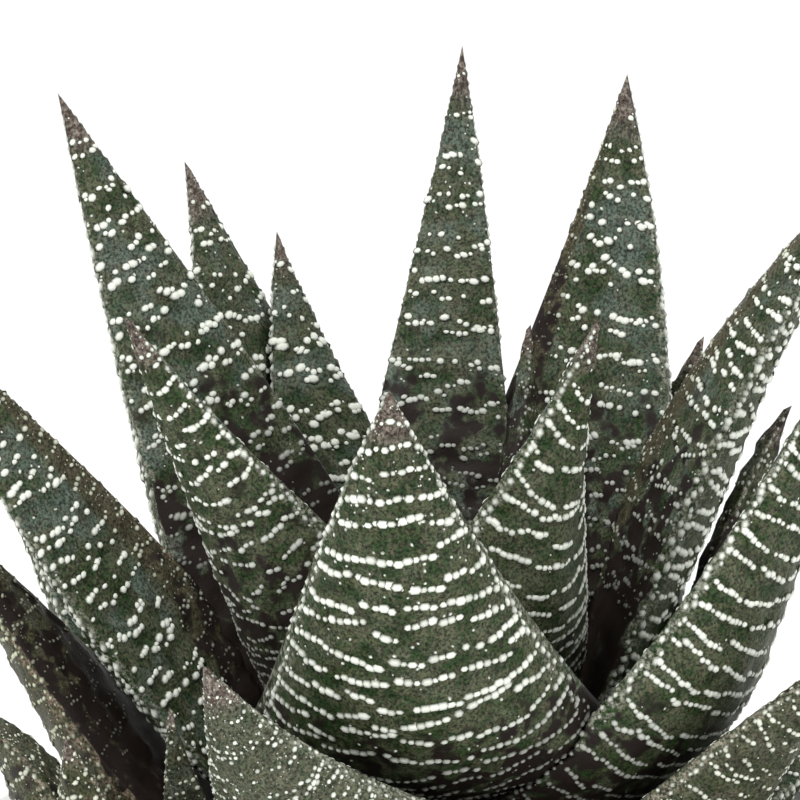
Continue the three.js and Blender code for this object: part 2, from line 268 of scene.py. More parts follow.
# What sets a leaf's look apart. inner and outer: how far up its two faces the painted shade at the base,
# with some soil stain, is full, and where it ends, as shares of the leaf's length. haze: a greyer skin.
# warm: a
# browner one. size: that of its tubercles. specks: how many small ones lie between the rows. chain: how
# long
# its chains of tubercles are. step: how far apart the tubercles are in a chain. bow: how much the rows on
# its
# back sag in the middle. pitch: how far apart the rows are. facet: the side of the inner face that is brown
# and finely beaded, as its sign, how far from the middle it starts at the root and at the tip, and the two
# shares of painted shade and stain on it.
Look = namedtuple(
    "Look", "inner outer haze warm size specks chain step bow pitch facet",
    defaults=((0.22, 0.44), (0.06, 0.34), 0.0, 0.0, 1.0, 0.8, 1.0, 1.0, 0.03, 1.0, None),
)

# The same leaves as in the part's source, from the youngest to the oldest
LEAVES = {
    "leaf_01": Leaf(330, (1.6, 69), 80, (5.7, 4, 91.8), 84, 20, 9, 0.41),
    "leaf_02": Leaf(180, (2, 68.5), 78, (-6, 2.5, 80.5), 80, 160, 10, 0.41),
    "leaf_03": Leaf(245, (2.6, 67.5), 76, (-2, -8, 85), 82, 245, 9, 0.41),
    "leaf_04": Leaf(288, (4, 65.5), 70, (9.7, -14, 95.7), 66, 340, 18, 0.42),
    "leaf_05": Leaf(95, (4.6, 65.5), 72, (1.3, 17, 108.2), 82, 80, 13, 0.34),
    "leaf_06": Leaf(242, (4.6, 65), 50, (-20, -18, 96.7), 58, 215, 17, 0.38, (10, 15)),
    "leaf_07": Leaf(42, (5, 64), 66, (12.2, 13, 106.9), 84, 55, 21.5, 0.34, (0, 10)),
    "leaf_08": Leaf(112, (5.6, 63), 64, (-11.2, 20, 95), 76, 125, 15, 0.37, (0, -5)),
    "leaf_09": Leaf(267, (5, 67), 6, (-3.5, -29, 94.4), 70, 270, 27, 0.36),
    "leaf_10": Leaf(8, (6, 61), 71, (30.8, 0, 106), 45, 5, 15.5, 0.39, (0, 20)),
    "leaf_11": Leaf(150, (6, 61), 64, (-25.2, 6, 106.8), 66, 170, 19, 0.39, (-20, -50)),
    "leaf_12": Leaf(312, (6.2, 62), 12, (25.6, -14, 94.8), 66, 335, 18.2, 0.27, (0, 0), 2),
    "leaf_13": Leaf(125, (6, 59), 60, (-17.4, 20, 99.8), 70, 155, 21, 0.34, (0, -20)),
    "leaf_14": Leaf(40, (6, 59), 56, (17.4, 12, 89.4), 66, 30, 20, 0.37),
    "leaf_15": Leaf(188, (6.2, 59), 45, (-36.2, -6, 96.2), 50, 180, 15, 0.33, (-20, -62)),
    "leaf_16": Leaf(80, (6.2, 57), 30, (6, 33, 82), 66, 80, 17, 0.37),
    "leaf_17": Leaf(355, (6.4, 57), 40, (22.8, 3, 86.6), 56, 350, 16, 0.39),
    "leaf_18": Leaf(262, (6.6, 57), 16, (-14.9, -30, 77.4), 62, 215, 26, 0.33, (15, 25)),
    "leaf_19": Leaf(155, (6.4, 56), 24, (-30, 16, 80), 56, 150, 16, 0.37),
    "leaf_20": Leaf(318, (6.8, 54.4), 26, (27.4, -20, 76.6), 34, 330, 20, 0.34, (0, -10)),
    "leaf_21": Leaf(55, (6.4, 55), 20, (22, 26, 73), 54, 55, 16, 0.37),
    "leaf_22": Leaf(200, (6.6, 55), 24, (-33, -6, 81.5), 48, 185, 18, 0.4, (-15, -30)),
    "leaf_23": Leaf(108, (6.6, 54.4), 18, (-9, 31, 72), 52, 108, 15, 0.37),
    "leaf_24": Leaf(14, (6.6, 54), 12, (28, 13, 63.5), 32, 25, 15, 0.37),
}

OFFSET_CENTRE = (-19.5, -15.5)
OFFSET_STEM = [(1.5, 46), (2.0, 51), (2.6, 54), (1.6, 57)]
OFFSET_SIDES = 12
OFFSET_LEAVES = [
    Leaf(20, (1.5, 55), 50, (-17.5, -15.5, 71), 84, 150, 6, 0.38, centre=OFFSET_CENTRE),
    Leaf(185, (1.2, 54), 76, (-30.6, -18, 71.4), 18, 180, 17, 0.36, centre=OFFSET_CENTRE),
    Leaf(255, (1.2, 53.5), 40, (-23.7, -24, 71.2), 60, 240, 12, 0.38, centre=OFFSET_CENTRE),
    Leaf(330, (1.2, 53.5), 50, (-14.5, -19.5, 64), 66, 320, 6.5, 0.38, centre=OFFSET_CENTRE),
]

LOOKS = {
    "leaf_01": Look(inner=(0.5, 1.2), outer=(0.5, 1.2), size=0.6),
    "leaf_02": Look(inner=(0.4, 1.0), outer=(0.4, 1.0), size=0.7),
    "leaf_04": Look(outer=(0.1, 0.45), chain=1.7, bow=0.08, pitch=1.12),
    "leaf_05": Look(inner=(0.18, 0.66), haze=0.1, chain=1.1),
    "leaf_06": Look(outer=(0.3, 0.8), chain=0.75, bow=0.02, size=0.95),
    "leaf_07": Look(inner=(0.15, 0.65), size=1.1, chain=0.85, facet=(1, 0.15, 0.75, 0.5, 0.9)),
    "leaf_08": Look(inner=(0.12, 0.62), size=1.25, chain=0.75, pitch=0.85),
    "leaf_09": Look(
        outer=(0.26, 0.52), size=1.15, specks=2.5, chain=1.45, step=1.25, bow=-0.02, pitch=1.16),
    "leaf_10": Look(inner=(0.22, 0.65), size=1.15, specks=2.0, facet=(1, 0.3, 0.2, 0.0, 0.55)),
    "leaf_11": Look(inner=(0.3, 0.65), size=1.2, chain=0.8),
    "leaf_12": Look(outer=(0.2, 0.53), chain=2.0, bow=0.05, pitch=1.12),
    "leaf_13": Look(inner=(0.15, 0.6), haze=0.1, size=1.15, chain=0.8),
    "leaf_14": Look(inner=(0.35, 0.85), warm=0.2),
    "leaf_15": Look(inner=(0.02, 0.3), size=1.12, chain=0.85, facet=(-1, -0.09, 0.6, 0.2, 0.55)),
    "leaf_17": Look(inner=(0.5, 0.95), outer=(0.5, 1.2), warm=0.3, size=0.8),
    "leaf_18": Look(outer=(0.0, 0.2), haze=0.5, size=0.62, specks=7.0, chain=0.7, pitch=0.62),
    "leaf_20": Look(outer=(0.05, 0.4), haze=0.15, warm=0.3, size=0.72, specks=3.0),
    "leaf_22": Look(inner=(0.4, 1.3), outer=(0.05, 0.7), warm=0.8, size=0.7, specks=4.0),
    "offset": Look(inner=(0.1, 0.9), outer=(0.1, 1.0), warm=0.5, size=0.72, specks=5.0, pitch=0.8),
}

random = np.random.default_rng(SEED)


# Vectors


def heading(azimuth, slope):
    """Directions with a compass azimuth and a slope above the horizon, in degrees."""
    a, e = np.broadcast_arrays(np.radians(azimuth), np.radians(slope))
    return np.stack([np.cos(a) * np.cos(e), np.sin(a) * np.cos(e), np.sin(e)], axis=-1)


def unit(vectors):
    return vectors / np.linalg.norm(vectors, axis=-1, keepdims=True)


def smoothstep(x, low, high):
    s = np.clip((x - low) / (high - low), 0, 1)
    return s * s * (3 - 2 * s)


# Meshes


def mesh_of(name, points, triangles):
    """A mesh in metres from points in millimetres and triangles of point numbers."""
    mesh = bpy.data.meshes.new(name)
    mesh.vertices.add(len(points))
    mesh.vertices.foreach_set("co", (points * MM).astype(np.float32).ravel())
    mesh.loops.add(len(triangles) * 3)
    mesh.loops.foreach_set("vertex_index", triangles.astype(np.int32).ravel())
    mesh.polygons.add(len(triangles))
    mesh.polygons.foreach_set("loop_start", np.arange(0, len(triangles) * 3, 3, dtype=np.int32))
    mesh.polygons.foreach_set("use_smooth", np.ones(len(triangles), bool))
    mesh.update(calc_edges=True)
    return mesh


def object_of(name, mesh):
    made = bpy.data.objects.new(name, mesh)
    bpy.context.scene.collection.objects.link(made)
    return made


def arrays_of(mesh):
    """Points in millimetres and triangles of a mesh."""
    points = np.empty(len(mesh.vertices) * 3, np.float32)
    mesh.vertices.foreach_get("co", points)
    mesh.calc_loop_triangles()
    triangles = np.empty(len(mesh.loop_triangles) * 3, np.int32)
    mesh.loop_triangles.foreach_get("vertices", triangles)
    return points.reshape(-1, 3).astype(float) / MM, triangles.reshape(-1, 3)


def largest_body(points, triangles):
    """The connected body with the most points, without the chips that cuts leave."""
    label = np.arange(len(points))
    while True:
        low = label[triangles].min(axis=1)
        fresh = label.copy()
        for corner in range(3):
            np.minimum.at(fresh, triangles[:, corner], low)
        fresh = fresh[fresh]
        if np.array_equal(fresh, label):
            break
        label = fresh
    used = label[triangles[:, 0]]
    names, counts = np.unique(used, return_counts=True)
    kept = triangles[used == names[counts.argmax()]]
    numbers, packed = np.unique(kept, return_inverse=True)
    return points[numbers], packed.reshape(-1, 3)


def cut(points, triangles, others):
    """The solid with the other solids cut away."""
    target = object_of("cut_target", mesh_of("cut_target", points, triangles))
    group = bpy.data.collections.new("cutters")
    bpy.context.scene.collection.children.link(group)
    for k, (p, t) in enumerate(others):
        cutter = bpy.data.objects.new(f"cutter_{k}", mesh_of(f"cutter_{k}", p, t))
        group.objects.link(cutter)
    boolean = target.modifiers.new("cut", "BOOLEAN")
    boolean.operation = "DIFFERENCE"
    boolean.solver = "MANIFOLD"
    boolean.operand_type = "COLLECTION"
    boolean.collection = group
    bpy.context.view_layer.update()
    evaluated = target.evaluated_get(bpy.context.evaluated_depsgraph_get())
    result = arrays_of(bpy.data.meshes.new_from_object(evaluated))
    for cutter in list(group.objects):
        bpy.data.objects.remove(cutter)
    bpy.data.collections.remove(group)
    bpy.data.objects.remove(target)
    return result


def closed_rings(rings, root, tip):
    """Triangles over rings of points, closed by a fan to the root and one to the tip."""
    count = rings.shape[1]
    points = np.vstack([rings.reshape(-1, 3), [root, tip]])
    k = np.arange(count)
    n = (k + 1) % count
    base = np.arange(len(rings) - 1)[:, None] * count
    a, b = (base + k).ravel(), (base + n).ravel()
    last = (len(rings) - 1) * count
    first_point, last_point = len(points) - 2, len(points) - 1
    triangles = np.vstack([
        np.stack([a, b, b + count], -1),
        np.stack([a, b + count, a + count], -1),
        np.stack([np.full(count, first_point), n, k], -1),
        np.stack([np.full(count, last_point), last + k, last + n], -1),
    ])
    return points, triangles


def lathe(profile, sides, centre=(0, 0)):
    """Solid of revolution about +Z from radius and height pairs that start and end on the axis."""
    angles = np.linspace(0, 2 * math.pi, sides, endpoint=False)
    circle = np.stack([np.cos(angles), np.sin(angles)], axis=-1)
    outline = np.array(profile[1:-1], float)
    rings = np.empty((len(outline), sides, 3))
    rings[..., :2] = outline[:, None, :1] * circle
    rings[..., 2] = outline[:, None, 1]
    points, triangles = closed_rings(rings, (0, 0, profile[0][1]), (0, 0, profile[-1][1]))
    points[:, :2] += centre
    return points, triangles


def lengths_along(points):
    """The length of a line of points up to each of them."""
    return np.concatenate([[0], np.cumsum(np.linalg.norm(np.diff(points, axis=0), axis=1))])


# Leaves


def leaf_frame(leaf, t):
    """Middle line of a leaf, its side and its back direction, at t from 0 at the root to 1 at the tip."""
    t = np.asarray(t, float)[..., None]
    reach, height = leaf.root
    start = np.array([*leaf.centre, height], float) + heading(leaf.az, 0) * reach
    end = np.array(leaf.tip, float)
    handle = np.linalg.norm(end - start) * HANDLE
    near = start + heading(leaf.az, leaf.rise) * handle
    far = end - heading(leaf.lean, leaf.pitch) * handle
    u = 1 - t
    point = u**3 * start + 3 * u * u * t * near + 3 * u * t * t * far + t**3 * end
    along = unit(3 * u * u * (near - start) + 6 * u * t * (far - near) + 3 * t * t * (end - far))
    turn = (leaf.lean - leaf.az + 540) % 360 - 180
    side = heading(leaf.az + turn * t[..., 0] + 90, 0)
    side = unit(side - (side * along).sum(-1, keepdims=True) * along)
    roll = np.radians(leaf.roll[0] + (leaf.roll[1] - leaf.roll[0]) * t)
    side = side * np.cos(roll) + np.cross(along, side) * np.sin(roll)
    return point, side, np.cross(side, along)


def leaf_section(leaf, t):
    """Half width, depth of the back, depth of the inner face and share of the keel."""
    taper = 1 - t**leaf.taper
    root = 1 - np.maximum(0, 1 - t / ROOT_LENGTH) ** 2
    half = leaf.width / 2 * taper * (ROOT_WIDTH + (1 - ROOT_WIDTH) * root)
    deep = ROOT_DEPTH + (1 - ROOT_DEPTH) * smoothstep(t, 0, DEEP_FROM)
    back = leaf.width * leaf.thick * taper * deep
    face = leaf.width * FACE_DEPTH * taper * (t - FACE_TURN)
    return half, back, face, KEEL * smoothstep(t, *KEEL_SPAN)


def leaf_points(leaf, outer, across, t, grow=0.0, lip=0.0, lift=0.0):
    """Points on a leaf's back or inner face. across runs from -1 to 1, margin to margin."""
    point, side, back_way = leaf_frame(leaf, t)
    half, back, face, keel = leaf_section(leaf, t)
    inside = np.clip(1 - across * across, 0, 1)
    if outer:
        soft = (np.sqrt(across**2 + KEEL_SOFT**2) - KEEL_SOFT) / (math.hypot(1, KEEL_SOFT) - KEEL_SOFT)
        out = back * (inside**BACK_ROUND * (1 - keel) + (1 - soft) * keel)
        out = out + np.where(inside > 0, grow, 0) + lift
    else:
        out = -(face * inside + lip * np.sqrt(inside) + grow + lift)
    width = (half + grow) * across
    return point + side * width[..., None] + back_way * out[..., None]


def spread(sides):
    """Places across a face from margin to margin, closer together near the margins."""
    return np.sin(np.linspace(-0.5, 0.5, sides + 1) * math.pi)


def leaf_solid(leaf, stations, outer, inner, grow=0.0, lip=0.0, relief=None):
    """A leaf's closed surface, with points at the given places across its back and its inner face."""
    t = stations[:, None]
    faces = []
    for is_outer, across in ((True, outer[None, :]), (False, inner[None, :])):
        lift = relief(is_outer, across, t) if relief else 0.0
        faces.append(leaf_points(leaf, is_outer, across, t, grow, lip, lift))
    root, tip = leaf_frame(leaf, np.array([stations[0], 1.0]))[0]
    return closed_rings(np.concatenate(faces, axis=1), root, tip)


def envelope(leaf):
    """The space that older leaves leave free round this one."""
    stations = np.linspace(0, TIP_END, ENVELOPE_STATIONS)
    inner = np.linspace(1, -1, ENVELOPE_INNER + 1)[1:-1]
    return leaf_solid(leaf, stations, spread(ENVELOPE_OUTER), inner, CLEARANCE)


def leaf_length(leaf):
    """Places along a leaf, and the length of its middle line up to each, from the root."""
    t = np.linspace(0, 1, LENGTH_STEPS)
    return t, lengths_along(leaf_frame(leaf, t)[0])


def full_length(leaf):
    return leaf_length(leaf)[1][-1]


def row_places(leaf, look):
    """Where along the leaf the tubercle rows of its back and of its inner face lie."""
    t, length = leaf_length(leaf)
    place, top = np.interp([ROW_START, ROW_END], t, length)
    places = []
    while place < top:
        places.append(place)
        pitch = ROW_PITCH[0] + (ROW_PITCH[1] - ROW_PITCH[0]) * place / length[-1]
        place += pitch * look.pitch * random.uniform(*PITCH_SPREAD)
    outer = np.interp(places, length, t)
    inner = outer.copy()
    lower, upper = inner[:-1:2], inner[1::2]
    upper -= PAIRED * (upper - lower)
    return {True: outer, False: inner}


def from_rows(t, rows):
    """How far places along a leaf are from the nearest row."""
    return np.abs(t[..., None] - rows).min(axis=-1)


# Tubercles


def bead_template(sides, rings):
    """A unit bead: a low dome, closed underneath, from the radius, height and tone of each of its rings."""
    angle = np.linspace(0, 2 * math.pi, sides, endpoint=False)
    points, tones = [(0.0, 0.0, 1.0)], [1.0]
    for radius, height, tone in rings:
        points += [(radius * math.cos(a), radius * math.sin(a), height) for a in angle]
        tones += [tone] * sides
    last = len(points) - sides
    triangles = []
    for k in range(sides):
        n = (k + 1) % sides
        triangles.append((0, 1 + k, 1 + n))
        for ring in range(1, last, sides):
            a, b = ring + k, ring + n
            triangles += [(a, a + sides, b + sides), (a, b + sides, b)]
        if 0 < k < sides - 1:
            triangles.append((last, last + n, last + k))
    return np.array(points), np.array(triangles), np.array(tones)


OUTER_BEAD = bead_template(OUTER_BEAD_SIDES, [(0.5, 0.86, 1.0), (0.88, 0.4, 0.6), (1.3, -0.2, 0.0)])
INNER_BEAD = bead_template(INNER_BEAD_SIDES, [(0.6, 0.8, 1.0), (1.25, -0.2, 0.0)])
SPECK = bead_template(SPECK_SIDES, [(1.0, -0.25, 0.3)])


def bead_places(leaf, look, outer, rows):
    """Across and along places, turn and radius of every bead in the rows on one face of a leaf."""
    runs, gaps, sizes = INNER_RUNS, INNER_GAPS, INNER_BEADS
    if outer:
        runs, gaps, sizes = OUTER_RUNS, OUTER_GAPS, OUTER_BEADS
    bow = leaf.width * (look.bow if outer else INNER_BOW)
    step = BEAD_STEP * look.step
    across = np.linspace(-ROW_REACH, ROW_REACH, ROW_POINTS)
    t_line, length = leaf_length(leaf)
    found = []
    for row in rows[outer]:
        arc = lengths_along(leaf_points(leaf, outer, across, np.full(ROW_POINTS, row), lip=LIP))
        per_mm = 1 / np.interp(row, t_line[:-1], np.diff(length) / np.diff(t_line))
        wave = random.uniform(0, 2 * math.pi)
        place = random.uniform(*ROW_LEAD)
        while place < arc[-1]:
            tilt = random.uniform(-1, 1) * RUN_TILT / look.chain
            middle = random.normal(0, ROW_WANDER / look.chain)
            for k in range(max(1, round(random.choice(runs) * look.chain))):
                at = place + k * step
                if at > arc[-1]:
                    break
                a = np.interp(at, arc, across)
                drift = middle + tilt * k * step + ROW_WAVE * math.sin(at / ROW_WAVE_SPAN + wave)
                drift += random.normal(0, BEAD_WANDER)
                t = row + (drift + bow * (a * a - BOW_LEVEL)) * per_mm
                turn = math.atan(tilt + 4 * bow * a / arc[-1])
                if BEAD_START < t < TIP_END:
                    found.append((a, t, turn, random.uniform(*sizes)))
            crowded = smoothstep(abs(a), *FLANK) if outer else 0
            place = at + step + random.uniform(*gaps) * (1 - crowded)
    return np.array(found)


def speck_places(leaf, look, outer):
    """Small stray beads anywhere on a face, with the most of them on a brown side."""
    count = int(FACET_SPECKS * leaf.width * full_length(leaf) / SPECK_AREA)
    across = ROW_REACH * np.sin(random.uniform(-math.pi / 2, math.pi / 2, count))
    t = random.uniform(*SPECK_SPAN, count)
    share = look.specks / FACET_SPECKS
    kept = random.uniform(0, 1, count) < share + (1 - share) * facet(look, outer, across, t)
    turn = random.uniform(0, math.pi, count)
    return np.stack([across, t, turn, random.uniform(*SPECK_RADIUS, count)], axis=-1)[kept]


def margin_places(leaf, side):
    """The toothed edge: one uneven row of small beads along a margin."""
    t, length = leaf_length(leaf)
    low, high = np.interp([ROW_START, MARGIN_END], t, length)
    places = low + np.cumsum(random.uniform(*MARGIN_STEP, int((high - low) / MARGIN_STEP[0])))
    places = places[places < high]
    count = len(places)
    return np.stack([
        side * random.uniform(*MARGIN_PLACE, count),
        np.interp(places, length, t),
        np.full(count, math.pi / 2),
        random.uniform(*MARGIN_RADIUS, count),
    ], axis=-1)


def face_frames(leaf, outer, across, t):
    """Points on a face, with the directions across it, along it and out of it."""
    step = 1e-3
    here = leaf_points(leaf, outer, across, t, lip=LIP)
    inward = np.where(across > 0, -step, step)
    over = (leaf_points(leaf, outer, across + inward, t, lip=LIP) - here) / inward[:, None]
    up = (leaf_points(leaf, outer, across, t + step, lip=LIP) - here) / step
    over = unit(over)
    out = unit(np.cross(over, up)) if outer else unit(np.cross(up, over))
    return here, over, np.cross(out, over), out


def facet(look, outer, across, t):
    """How far a point lies on the inner face's brown side, from 0 to 1."""
    if outer or look.facet is None:
        return np.zeros(len(across))
    sign, root, tip = look.facet[:3]
    return smoothstep(across * sign - root - (tip - root) * t, 0, FACET_SOFT)


def shade_and_stain(look, outer, across, t):
    """How dark a point is: 1 at the leaf's base and 0 above. The darkness is painted shade from the crowded
    rosette, with some soil stain.
    """
    if outer:
        return OUTER_SHADE_AND_STAIN * (1 - smoothstep(t, *look.outer))
    dark = 1 - smoothstep(t, *look.inner)
    if look.facet is None:
        return dark
    side = 1 - smoothstep(t, *look.facet[3:])
    return dark + (side - dark) * facet(look, outer, across, t)


def beads(leaf, look, outer, places, template, skin):
    """Beads on one face, kept where the skin still is: points, triangles, tones, shares of painted shade
    and stain, and warmth.
    """
    shape, faces, tones = template
    across, t, turn, radius = places.T
    here, over, up, out = face_frames(leaf, outer, across, t)
    dark, brown = shade_and_stain(look, outer, across, t), facet(look, outer, across, t)
    size = radius * look.size * (1 - TIP_SHRINK * smoothstep(t, TIP_FROM, 1.0))
    size = size * (1 - SHADE_AND_STAIN_SHRINK * dark) * (1 - FACET_SHRINK * brown)
    bright = random.uniform(*(OUTER_WHITE if outer else INNER_WHITE), len(t))
    bright *= (1 - HAZE_DIM * look.haze) * (1 - FACET_DIM * brown)
    warm = np.maximum(look.warm, FACET_WARM * brown)
    stretch = random.uniform(*BEAD_STRETCH, len(t))
    made = [(np.empty((0, 3)), np.empty(0), np.empty(0), np.empty(0))]
    for k in range(len(here)):
        place, _, _, gap = skin.find_nearest(Vector(here[k]))
        if gap > FAR_FROM_SKIN + RIDGE_HEIGHT or dark[k] > HIDDEN_IN_SHADE_AND_STAIN:
            continue
        ahead = over[k] * math.cos(turn[k]) + up[k] * math.sin(turn[k])
        aside = np.cross(out[k], ahead)
        axes = np.stack([ahead * stretch[k], aside, out[k] * BEAD_HEIGHT]) * size[k]
        ones = np.ones(len(shape))
        made.append((np.array(place) + shape @ axes, tones * bright[k], dark[k] * ones, warm[k] * ones))
    numbers = np.arange(len(made) - 1)[:, None, None] * len(shape)
    points, tone, shaded_and_stained, warmed = (np.concatenate(column) for column in zip(*made))
    return points, (numbers + faces).reshape(-1, 3), tone, shaded_and_stained, warmed


def all_beads(leaf, look, rows, skin):
    """The beads of both faces and of the margins of a leaf, together."""
    margins = np.vstack([margin_places(leaf, -1), margin_places(leaf, 1)])
    sets = [beads(leaf, look, True, margins, SPECK, skin)]
    for outer, bead in ((True, OUTER_BEAD), (False, INNER_BEAD)):
        sets.append(beads(leaf, look, outer, bead_places(leaf, look, outer, rows), bead, skin))
        sets.append(beads(leaf, look, outer, speck_places(leaf, look, outer), SPECK, skin))
    start = np.cumsum([0] + [len(s[0]) for s in sets[:-1]])
    triangles = np.vstack([s[1] + first for s, first in zip(sets, start)])
    points, tone, shaded_and_stained, warmed = (np.concatenate([s[k] for s in sets]) for k in (0, 2, 3, 4))
    return points, triangles, tone, shaded_and_stained, warmed


# Skin


# What the skin's material reads at each point
VALUES = ("along", "edge", "band", "inner", "shade_and_stain", "tone", "haze", "warm")


def relief_for(leaf, rows):
    """Low relief for one leaf: a ridge under each row of tubercles, and a slow unevenness."""
    waves = random.uniform(*WAVE_RATE, (WAVE_COUNT, 2)) * random.choice([-1, 1], (WAVE_COUNT, 2))
    phases = random.uniform(0, 2 * math.pi, WAVE_COUNT)
    length = full_length(leaf)

    def relief(outer, across, t):
        near = from_rows(t, rows[outer]) * length
        lift = RIDGE_HEIGHT * np.exp(-((near / RIDGE_WIDTH) ** 2))
        for (x, y), phase in zip(waves, phases):
            lift = lift + WAVE_HEIGHT * np.sin(x * across * leaf.width / 2 + y * t * length + phase)
        edge = np.clip(1 - across * across, 0, 1) ** 0.5
        start, end = RELIEF_FADE
        fade = smoothstep(t, 0.0, start) * (1 - smoothstep(t, end, TIP_END))
        return lift * edge * fade

    return relief


def skin_values(leaf, look, points, rows):
    """Where each point lies on its leaf, as values from 0 to 1."""
    t = np.linspace(0, TIP_END, SHEET_STATIONS)[:, None]
    across = spread(SHEET_SIDES)[None, :]
    t, across = (a.ravel() for a in np.broadcast_arrays(t, across))
    tree = KDTree(t.size * 2)
    for face in (True, False):
        sheet = leaf_points(leaf, face, across, t, lip=LIP)
        for k, p in enumerate(sheet):
            tree.insert(p, k if face else k + t.size)
    tree.balance()
    found = np.array([tree.find(p)[1] for p in points])
    inner = found >= t.size
    found = found % t.size
    along, side = t[found], across[found]
    near = np.where(inner, from_rows(along, rows[False]), from_rows(along, rows[True]))
    near = near * full_length(leaf)
    brown = np.where(inner, facet(look, False, side, along), 0)
    dark = np.where(inner, shade_and_stain(look, False, side, along), shade_and_stain(look, True, side, along))
    return {
        "along": along,
        "edge": np.abs(side),
        "band": np.exp(-((near / BAND_WIDTH) ** 2)),
        "inner": inner * (1 - brown),
        "shade_and_stain": dark,
        "warm": np.maximum(brown, look.warm),
    }


def leaf_piece(leaf, look, others):
    """One leaf's skin and beads as points, triangles, bead flags and values."""
    rows = row_places(leaf, look)
    count = int(full_length(leaf) / STATION_STEP)
    stations = np.concatenate([[0.0], np.linspace(SKIN_START, TIP_END, count)])
    outer = spread(max(OUTER_LEAST, int(leaf.width * OUTER_GIRTH / RING_STEP)))
    inner = -spread(max(INNER_LEAST, int(leaf.width * INNER_GIRTH / RING_STEP)))[1:-1]
    solid = leaf_solid(leaf, stations, outer, inner, lip=LIP, relief=relief_for(leaf, rows))
    if others:
        solid = largest_body(*cut(*solid, others))
    points, triangles = solid
    skin = BVHTree.FromPolygons([Vector(p) for p in points], triangles.tolist())
    bead_points, bead_triangles, tone, shaded_and_stained, warmed = all_beads(leaf, look, rows, skin)
    total = len(points) + len(bead_points)
    piece = {key: np.zeros(total) for key in VALUES}
    for key, value in skin_values(leaf, look, points, rows).items():
        piece[key][:len(points)] = value
    piece["shade_and_stain"][len(points):] = shaded_and_stained
    piece["tone"][len(points):] = tone
    piece["haze"][:] = look.haze
    piece["warm"][len(points):] = warmed
    piece["points"] = np.vstack([points, bead_points])
    piece["triangles"] = np.vstack([triangles, bead_triangles + len(points)])
    piece["bead"] = np.concatenate([np.zeros(len(triangles)), np.ones(len(bead_triangles))])
    return piece


def joined(parts):
    """Several leaf pieces as one."""
    start = np.cumsum([0] + [len(p["points"]) for p in parts[:-1]])
    made = {key: np.concatenate([p[key] for p in parts]) for key in parts[0]}
    made["triangles"] = np.vstack([p["triangles"] + s for p, s in zip(parts, start)])
    return made


def add_leaf_object(name, node, piece, materials):
    """Adds a leaf's mesh in place of its solid. The second of the two materials is that of its beads."""
    mesh = mesh_of(name, piece["points"], piece["triangles"])
    for material in materials:
        mesh.materials.append(material)
    mesh.polygons.foreach_set("material_index", piece["bead"].astype(np.int32))
    for key in VALUES:
        attribute = mesh.attributes.new(key, "FLOAT", "POINT")
        attribute.data.foreach_set("value", piece[key].astype(np.float32))
    made = object_of(name, mesh)
    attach(made, "root")
    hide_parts(node)


def near_each_other(a, b):
    """True if the boxes round two sets of points meet."""
    return bool(np.all(a.min(axis=0) <= b.max(axis=0)) and np.all(b.min(axis=0) <= a.max(axis=0)))


# Materials


def material_of(name):
    """A new material, its node tree and its shader."""
    made = bpy.data.materials.new(name)
    made.use_nodes = True
    return made, made.node_tree, made.node_tree.nodes["Principled BSDF"]


def noise(net, size, detail=3.0, rough=0.6):
    """Noise whose features are about size millimetres across, in object coordinates."""
    texture = net.nodes.new("ShaderNodeTexNoise")
    texture.inputs["Scale"].default_value = 1 / (size * MM)
    texture.inputs["Detail"].default_value = detail
    texture.inputs["Roughness"].default_value = rough
    place = net.nodes.new("ShaderNodeTexCoord")
    net.links.new(place.outputs["Object"], texture.inputs["Vector"])
    return texture.outputs["Fac"]


def ramp(net, value, low, high, to=(0.0, 1.0)):
    """The first of to below low and the second above high, smooth between."""
    made = net.nodes.new("ShaderNodeMapRange")
    made.interpolation_type = "SMOOTHSTEP"
    for name, number in zip(("From Min", "From Max", "To Min", "To Max"), (low, high, *to)):
        made.inputs[name].default_value = number
    net.links.new(value, made.inputs["Value"])
    return made.outputs["Result"]


def worked(net, operation, a, b):
    """A sum worked out by a node. a and b are numbers or sockets."""
    made = net.nodes.new("ShaderNodeMath")
    made.operation = operation
    for socket, value in zip(made.inputs, (a, b)):
        if isinstance(value, (int, float)):
            socket.default_value = value
        else:
            net.links.new(value, socket)
    return made.outputs["Value"]


def times(net, a, b):
    return worked(net, "MULTIPLY", a, b)


def mixed(net, share, first, second, blend="MIX"):
    """Two colours mixed. Each of them, and the share of the second, is a value or a socket."""
    made = net.nodes.new("ShaderNodeMix")
    made.data_type = "RGBA"
    made.blend_type = blend
    pairs = ((made.inputs["Factor"], share), (made.inputs[6], first), (made.inputs[7], second))
    for socket, value in pairs:
        if isinstance(value, tuple):
            socket.default_value = (*value, 1.0)
        elif isinstance(value, (int, float)):
            socket.default_value = value
        else:
            net.links.new(value, socket)
    return made.outputs[2]


def tinted(net, colour, tint, mask, strength):
    """A colour with a tint laid over it, as strongly as the mask says."""
    return mixed(net, times(net, mask, strength), colour, tint)


def value_of(net, name):
    """One of the values that are kept at each point of a leaf."""
    made = net.nodes.new("ShaderNodeAttribute")
    made.attribute_name = name
    return made.outputs["Fac"]


def painted(net, shader, colour, roughness):
    net.links.new(colour, shader.inputs["Base Color"])
    shader.inputs["Roughness"].default_value = roughness


def bumped(net, shader, height, distance, strength):
    """Fine relief, up to distance millimetres deep."""
    bump = net.nodes.new("ShaderNodeBump")
    bump.inputs["Distance"].default_value = distance * MM
    bump.inputs["Strength"].default_value = strength
    net.links.new(height, bump.inputs["Height"])
    net.links.new(bump.outputs["Normal"], shader.inputs["Normal"])


